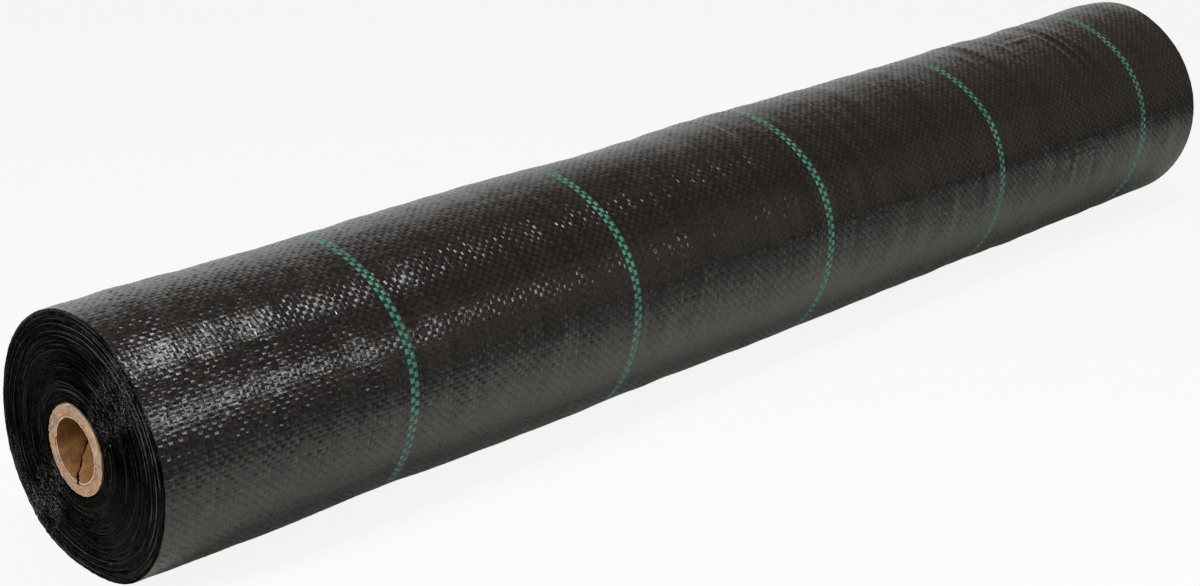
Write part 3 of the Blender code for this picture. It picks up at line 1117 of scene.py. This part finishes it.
def turnEdgeMaterial():
    look = edgeLook
    material, shader, start = newMaterial("turnEdges")
    run, tone, place = tapeInputs(start)
    layers = run.stretched(look["layers"]).noise(1.0, detail=3.0, roughness=0.7)
    patches = place.noise(look["patches"], detail=4.0, roughness=0.6)
    y = place.axis("Y")
    z = place.axis("Z") - roll["axisZ"]
    square = y * y + z * z
    aside = (look["diagonal"] * (y + z)) ** 2.0 / square
    frayedAndGlinting = (1.0 - aside.between(*look["frayedAside"])) * patches.between(*look["frayedAndGlinting"])
    atRim = square.between(*look["rimSquare"]) * patches.between(*look["rimFrayed"])
    frayedAndGlinting = frayedAndGlinting.most(look["rimShare"] * atRim * (1.0 - aside.between(*look["rimAside"])))
    specks = place.noise(look["specks"], detail=1.0)
    # painted highlight: pale grey specks in the frayed sectors and along the rim, in place of the
    # lamp's glint on the turns' edges
    paintedGlintPatches = place.noise(look["paintedGlint"], detail=1.0).between(*look["paintedGlintPatches"])
    paintedGlint = frayedAndGlinting * specks.between(*look["speckled"]) * paintedGlintPatches
    shade = blend(look["shades"], (tone, layers, patches)).between(*look["shown"])
    colour = shade.tint(look["dark"], look["light"])
    # pale turns and rim steps: wear, and painted highlight of edges that catch the light
    colour = tone.between(*look["wearAndHighlightTones"]).tint(colour, look["wearAndHighlight"])
    colour = paintedGlint.tint(colour, look["paintedGlintColour"])
    rough = blend(look["rough"], (patches, tone), look["smoothest"])
    height = blend(look["rises"], (layers, tone)) + look["frayedRise"] * frayedAndGlinting * specks
    plug(shader, colour, rough, height.bump(*look["bump"]))
    shader.inputs["Specular IOR Level"].default_value = look["specular"]
    return material


turnEdges = turnEdgeMaterial()
first = 0
for number, laps in enumerate(turns["sleeves"], start=1):
    makeSleeve(f"woundTurns_{number}", first, laps, turns["sections"] if number == 1 else 1, turnEdges)
    first += laps
print("stage: end faces of the winding")


# Frayed bits of tape

def ribbonPiece(name, centre, across, up, tones, material):
    # Flat closed ribbons: all arrays are ribbon by station by xyz, across and up are half sizes.
    count, stations = centre.shape[:2]
    under = centre - up
    over = centre + up
    ring = np.stack((under - across, under + across, over + across, over - across), 2)
    number = np.arange(count * stations * 4).reshape(count, stations, 4)
    after = np.roll(number, -1, axis=2)
    sides = np.stack((number[:, :-1], after[:, :-1], after[:, 1:], number[:, 1:]), -1).reshape(-1, 4)
    quads = np.concatenate((sides, number[:, 0, ::-1], number[:, -1]))
    along = np.cumsum(np.linalg.norm(np.diff(centre, axis=1, prepend=centre[:, :1]), axis=2), axis=1)
    run = np.zeros((count, stations, 4, 2))
    run[..., 0] = np.arange(count)[:, None, None] * 0.0032
    run[:, :, 1:3, 0] += 2.0 * np.linalg.norm(across, axis=2)[..., None]
    run[..., 1] = along[..., None]
    run = run.reshape(-1, 2)
    perFace = np.concatenate((np.repeat(tones, (stations - 1) * 4), tones, tones))
    smooth = np.zeros(len(quads), bool)
    return meshPiece(name, ring.reshape(-1, 3), quads, smooth, run[quads], perFace, material)


def unit(vectors):
    return vectors / np.linalg.norm(vectors, axis=-1, keepdims=True)


def makeEndBits(name, side, seed):
    rng = np.random.default_rng(seed)
    count, stations = fray["bits"], fray["stations"]
    pick = rng.random(count)
    angle = rng.uniform(0.0, 360.0, count)
    radius = rng.uniform(*fray["radii"], count)
    nearest, thinning = fray["nearCore"]
    below = 0.0
    for middle, spread, share in fray["clusters"]:
        chosen = (pick >= below) & (pick < below + share)
        angle[chosen] = middle + spread * rng.normal(size=chosen.sum())
        out = nearest + rng.exponential(thinning, chosen.sum())
        radius[chosen] = np.minimum(out, fray["radii"][1])
        below += share
    length = rng.uniform(*fray["lengths"], count)
    heading = np.radians(angle) + math.pi / 2.0 + rng.normal(0.0, 0.7, count)
    bend = rng.normal(0.0, 1.6, count)
    share = np.linspace(0.0, 1.0, stations)[None, :]
    turn = heading[:, None] + bend[:, None] * share
    stride = (length / (stations - 1))[:, None]
    y = (radius * np.cos(np.radians(angle)))[:, None] + np.cumsum(stride * np.cos(turn), axis=1)
    z = (radius * np.sin(np.radians(angle)))[:, None] + np.cumsum(stride * np.sin(turn), axis=1)
    # bits stay on the face: between the core and the rim
    away = np.hypot(y, z)
    kept = np.clip(away, *fray["kept"])
    y, z = y * kept / away, z * kept / away
    lap = (roll["axisDepth"] - kept) / turns["pitch"]
    face = fray["faceX"] + bulge(lap)
    rimBack = rimShare(side, np.arctan2(z, y)) * turns["rimBack"]
    for step in turns["rimSteps"]:
        face = face - rimBack * (lap < step)
    lift = fray["lift"] * rng.random(count)[:, None] * np.sin(math.pi * (0.15 + 0.75 * share))
    centre = np.stack((side * (face + lift - fray["root"]), y, z + roll["axisZ"]), -1)
    forward = unit(np.gradient(centre, axis=1))
    twist = rng.normal(0.0, 0.5, count)[:, None] + rng.normal(0.0, 0.7, count)[:, None] * share
    flat = unit(np.cross(forward, np.array([1.0, 0.0, 0.0])))
    upright = np.cross(forward, flat)
    across = np.cos(twist)[..., None] * flat + np.sin(twist)[..., None] * upright
    up = unit(np.cross(across, forward))
    half = 0.5 * rng.uniform(*fray["widths"], count)[:, None, None]
    half = half * (1.0 - 0.6 * share[..., None] ** 3)
    tones = rng.uniform(0.3, 1.0, count)
    piece = ribbonPiece(name, centre, half * across, 0.5 * fray["thickness"] * up, tones, blackTape)
    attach(piece, "roll")
    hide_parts("web_inner_turns")


def makeFreeFringe(name, columns, seed):
    # Ends of the warp tapes past the last weft tape.
    rng = np.random.default_rng(seed)
    column = np.arange(*columns, fray["endEvery"])
    column = column[rng.random(len(column)) < fray["endShown"]]
    count, stations = len(column), 5
    share = np.linspace(0.0, 1.0, stations)[None, :]
    left = grid["cornerX"][column, 0]
    right = grid["cornerX"][column + 1, 0]
    length = rng.uniform(*fray["endLengths"], count)[:, None] + fray["endRoot"]
    turned = (fray["endRoot"] - length * share) * turnedPerMetre
    drift = rng.normal(0.0, 0.10, count)[:, None] * length * share
    x = (0.5 * (left + right))[:, None] + drift
    curl = rng.exponential(0.00035, count)[:, None] * share * share
    half = (0.40 * (right - left) * rng.uniform(0.5, 1.0, count))[:, None]
    depth = 0.00010 - curl
    centre = placeOnRoll(x, turned, depth)
    across = 0.5 * (placeOnRoll(x + half, turned, depth) - placeOnRoll(x - half, turned, depth))
    up = 0.5 * fray["thickness"] * unit(np.cross(across, unit(np.gradient(centre, axis=1))))
    piece = ribbonPiece(name, centre, across, up, rng.uniform(0.2, 0.9, count), blackTape)
    blendTail(piece)
    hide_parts("web_tail")


makeEndBits("endBits_near", -1.0, fray["seed"])
makeEndBits("endBits_far", 1.0, fray["seed"] + 1)
for number, columns in enumerate(panels, start=1):
    makeFreeFringe(f"freeEndFringe_{number}", columns, fray["seed"] + 10 + number)
print("stage: frayed bits")


# The board tube: plies glued one on the other, the innermost one wound on as a helix

core = {
    "halfLength": 0.5025,
    "steps": 120,
    "outerPly": (0.02528, 0.0265),
    "wallPlies": ((0.02034, 0.02158), (0.02162, 0.02280), (0.02284, 0.02402), (0.02406, 0.02524)),
    "innerPly": (0.0190, 0.0203),
    "pitch": 0.0954,            # of the inner ply's helix, for one turn
    "seam": 0.0015,
    "strip": 14,                # cuts across the inner ply
    "wander": 0.0050,           # how far the seam strays, over the length below
    "wanderOver": 0.006,
    "endRings": (0.0006, 0.004),        # keep the wander of the cut edge out of the tube
    "ragged": 0.00032,
    "seamRagged": 0.0003,
    "outOfSquare": 0.35,        # degrees that the cut leans
    "softEdge": 0.00012,
}
# small torn tip at the top of the photographed end
tornTip = {"angle": 82.0, "reach": 3.2, "move": (-0.0002, 0.0, 0.0007)}


def editing(on):
    bpy.ops.object.mode_set(mode="EDIT" if on else "OBJECT")


def cutAcross(x, facing=1.0, clearOuter=False):
    bpy.ops.mesh.select_all(action="SELECT")
    bpy.ops.mesh.bisect(plane_co=(x, 0.0, 0.0), plane_no=(facing, 0.0, 0.0), clear_outer=clearOuter)


def selectPoints(piece, wanted):
    # Leaves edit mode on, with only the wanted points selected.
    editing(True)
    bpy.ops.mesh.select_mode(type="VERT")
    bpy.ops.mesh.select_all(action="DESELECT")
    editing(False)
    for point in piece.data.vertices:
        point.select = wanted(point.co)
    editing(True)


def angleRound(co):
    return math.degrees(math.atan2(co.z - roll["axisZ"], co.y)) % 360.0


def raggedEnds(piece, seed):
    half = core["halfLength"]
    for side in (-1.0, 1.0):
        selectPoints(piece, lambda co: side * co.x > half - 0.0002)
        bpy.ops.transform.vertex_random(offset=core["ragged"], seed=seed + int(side))
        bpy.ops.transform.rotate(
            value=math.radians(core["outOfSquare"]),
            orient_axis="Z",
            center_override=(side * half, 0.0, roll["axisZ"]),
        )
        editing(False)


def applyModifiers(piece):
    for modifier in list(piece.modifiers):
        bpy.ops.object.modifier_apply(modifier=modifier.name)


def thicken(piece, thickness, offset):
    solid = piece.modifiers.new("wall", "SOLIDIFY")
    solid.thickness = thickness
    solid.offset = offset
    soft = piece.modifiers.new("softEdges", "BEVEL")
    soft.width = core["softEdge"]
    soft.segments = 2
    soft.limit_method = "ANGLE"
    soft.angle_limit = math.radians(50.0)
    applyModifiers(piece)
    bpy.ops.object.shade_smooth_by_angle(angle=math.radians(35.0))


def makePly(name, radii, seed, material):
    bpy.ops.object.select_all(action="DESELECT")
    bpy.ops.mesh.primitive_cylinder_add(
        vertices=core["steps"],
        radius=radii[1],
        depth=2.0 * core["halfLength"],
        end_fill_type="NOTHING",
        location=(0.0, 0.0, roll["axisZ"]),
        rotation=(0.0, math.pi / 2.0, 0.0),
    )
    ply = bpy.context.object
    ply.name = name
    bpy.ops.object.transform_apply(location=True, rotation=True, scale=True)
    editing(True)
    for side in (-1.0, 1.0):
        for back in core["endRings"]:
            cutAcross(side * (core["halfLength"] - back))
    editing(False)
    raggedEnds(ply, seed)
    if name == "coreOuterPly":
        end = core["endRings"][0] - core["halfLength"]
        middle, reach = tornTip["angle"], tornTip["reach"]
        selectPoints(ply, lambda co: co.x < end and abs(angleRound(co) - middle) < reach)
        bpy.ops.transform.translate(value=tornTip["move"])
        editing(False)
    thicken(ply, radii[1] - radii[0], -1.0)
    ply.data.materials.append(material)
    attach(ply, "roll")
    return ply


def makeInnerPly(material):
    inner, outer = core["innerPly"]
    width = core["pitch"] - core["seam"]
    bpy.ops.object.select_all(action="DESELECT")
    bpy.ops.mesh.primitive_plane_add(size=width, rotation=(math.pi / 2.0, 0.0, 0.0))
    ply = bpy.context.object
    ply.name = "coreInnerPly"
    bpy.ops.object.transform_apply(location=True, rotation=True, scale=True)
    # one edge of the plane is swept into the helix
    selectPoints(ply, lambda co: co.z < 0.0)
    bpy.ops.mesh.delete(type="VERT")
    bpy.ops.mesh.select_all(action="SELECT")
    bpy.ops.mesh.subdivide(number_cuts=core["strip"])
    along = -core["halfLength"] - 0.5 * core["pitch"]
    bpy.ops.transform.translate(value=(along, 0.0, -inner - 0.5 * width))
    editing(False)
    sweep = ply.modifiers.new("helix", "SCREW")
    sweep.axis = "X"
    sweep.screw_offset = core["pitch"]
    sweep.iterations = 12
    sweep.steps = 96
    sweep.render_steps = 96
    clouds = bpy.data.textures.new("seamWander", "CLOUDS")
    clouds.noise_scale = core["wanderOver"]
    wander = ply.modifiers.new("wander", "DISPLACE")
    wander.texture = clouds
    wander.direction = "X"
    wander.strength = core["wander"]
    applyModifiers(ply)
    editing(True)
    bpy.ops.mesh.select_all(action="DESELECT")
    bpy.ops.mesh.select_non_manifold(extend=False)
    bpy.ops.transform.vertex_random(offset=core["seamRagged"], seed=4)
    for side in (-1.0, 1.0):
        cutAcross(side * core["halfLength"], side, True)
    bpy.ops.mesh.select_all(action="SELECT")
    bpy.ops.transform.translate(value=(0.0, 0.0, roll["axisZ"]))
    editing(False)
    face = ply.data.polygons[0]
    outward = face.normal.dot(Vector((0.0, face.center.y, face.center.z - roll["axisZ"]))) > 0.0
    raggedEnds(ply, 9)
    thicken(ply, outer - inner, 1.0 if outward else -1.0)
    editing(True)
    bpy.ops.mesh.select_all(action="SELECT")
    bpy.ops.mesh.normals_make_consistent(inside=False)
    editing(False)
    ply.data.materials.append(material)
    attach(ply, "roll")
    return ply


boardLook = {
    "endX": (0.4985, 0.5010),
    "endwise": (0.55, 0.85),
    "fibres": (300.0, 1600.0, 1600.0),
    "blotches": 160.0,
    "wander": 420.0,
    "plyWander": 0.0005,
    "plyLines": 5200.0,                 # radians of the sine that draws them, per metre of radius
    "shades": (0.75, 0.50, 0.12),       # of fibres, blotches and layers
    "shown": (0.48, 0.84),
    "stain": 95.0,
    "stained": (0.52, 0.68),
    "stainShare": 0.60,
    "stainColour": (0.56, 0.28, 0.10),
    "rims": (0.01955, 0.02605),         # the sawn ring is pale inside and outside these radii
    "rimWidth": 0.0003,
    "rimShare": 0.75,
    "rimFibres": (0.35, 0.6),
    "rimColour": (0.78, 0.66, 0.53),
    "grain": (700.0, 700.0, 700.0),
    "faceShades": (0.5, 0.6),           # of blotches and grain
    "faceShown": (0.30, 0.80),
    # dark band on the ply under the open seam: old glue and painted shade
    "glueAndSeamShadeWidth": 0.00025,
    "glueAndSeamShade": (0.012, 0.006, 0.003),
    "cutRises": (0.8, 0.5),             # of fibres and layers
    "grainRise": 0.5,
    "roughBlotches": 0.15,
    "bump": (0.8, 0.00012),
    "specular": 0.25,
}


def boardMaterial(name, paper, cut, roughness, glueAndSeamShadeRadius):
    # paper is the colour range of the plies' faces, cut the range of the sawn ring
    look = boardLook
    material, shader, start = newMaterial(name)
    place = start.place()
    y = place.axis("Y")
    z = place.axis("Z") - roll["axisZ"]
    radius = (y * y + z * z) ** 0.5
    endwise = start.add("ShaderNodeNewGeometry", out="True Normal").axis("X")
    atEnd = place.axis("X").absolute().between(*look["endX"])
    onCut = endwise.absolute().between(*look["endwise"]) * atEnd
    fibres = place.stretched(look["fibres"]).noise(1.0, detail=5.0, roughness=0.7)
    blotches = place.noise(look["blotches"], detail=4.0, roughness=0.6)
    wander = place.noise(look["wander"], detail=2.0)
    lines = ((radius + look["plyWander"] * wander) * look["plyLines"]).sine()
    layers = (0.5 + 0.5 * lines).between(0.0, 1.0)
    shade = blend(look["shades"], (fibres, blotches, layers)).between(*look["shown"])
    stain = place.noise(look["stain"], detail=3.0).between(*look["stained"])
    cutColour = (look["stainShare"] * stain).tint(shade.tint(*cut), look["stainColour"])
    inner, outer = look["rims"]
    rims = (inner - radius).between(0.0, look["rimWidth"])
    rims = rims.most((radius - outer).between(0.0, look["rimWidth"]))
    rims = look["rimShare"] * rims * fibres.between(*look["rimFibres"])
    cutColour = rims.tint(cutColour, look["rimColour"])
    grain = place.stretched(look["grain"]).noise(1.0, detail=6.0, roughness=0.75)
    faceShade = blend(look["faceShades"], (blotches, grain)).between(*look["faceShown"])
    faceColour = faceShade.tint(*paper)
    # the ply under the open seam is painted dark in a thin band: old glue, and painted shade of the
    # seam
    glueAndSeamShade = radius.between(glueAndSeamShadeRadius, glueAndSeamShadeRadius + look["glueAndSeamShadeWidth"])
    colour = glueAndSeamShade.tint(look["glueAndSeamShade"], onCut.tint(faceColour, cutColour))
    height = onCut * blend(look["cutRises"], (fibres, layers)) + look["grainRise"] * grain
    plug(shader, colour, roughness + look["roughBlotches"] * blotches, height.bump(*look["bump"]))
    shader.inputs["Specular IOR Level"].default_value = look["specular"]
    return material


board = boardMaterial(
    "board",
    ((0.30, 0.17, 0.09), (0.62, 0.42, 0.26)),
    ((0.18, 0.110, 0.065), (0.59, 0.415, 0.275)),
    0.72,
    0.02045,
)
# the bore's paper is darker and redder than the wall plies: its own kraft, and painted shade of the
# inside of the bore
boardInner = boardMaterial(
    "boardInner",
    ((0.20, 0.085, 0.026), (0.56, 0.30, 0.115)),
    ((0.21, 0.130, 0.075), (0.62, 0.445, 0.30)),
    0.66,
    0.0180,
)
outerPly = makePly("coreOuterPly", core["outerPly"], 3, board)
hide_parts("core_outer_ply")
for number, radii in enumerate(core["wallPlies"], start=1):
    ply = makePly(f"coreWallPly_{number}", radii, 10 + 4 * number, board)
    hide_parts("core_wall_plies")
innerPly = makeInnerPly(boardInner)
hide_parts("core_inner_ply")
print("stage: board tube")


# The strip that holds the first turn keeps its CAD form

stripLook = {
    "wrinkles": (90.0, 500.0, 500.0),
    "specks": 900.0,
    "shades": (0.6, 0.5),               # of wrinkles and specks
    "shown": (0.3, 0.8),
    "dark": (0.33, 0.27, 0.16),
    "light": (0.56, 0.49, 0.34),
    "smoothest": 0.25,
    "rough": 0.25,
    "bump": (0.5, 0.0001),
}


def startTapeMaterial():
    look = stripLook
    material, shader, start = newMaterial("startTape")
    place = start.place()
    wrinkles = place.stretched(look["wrinkles"]).noise(1.0, detail=4.0, roughness=0.6)
    specks = place.noise(look["specks"], detail=3.0)
    shade = blend(look["shades"], (wrinkles, specks)).between(*look["shown"])
    colour = shade.tint(look["dark"], look["light"])
    rough = look["smoothest"] + look["rough"] * wrinkles
    plug(shader, colour, rough, wrinkles.bump(*look["bump"]))
    return material


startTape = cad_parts["start_tape"]
startTape.data.materials.clear()
startTape.data.materials.append(startTapeMaterial())
print("stage: start tape")
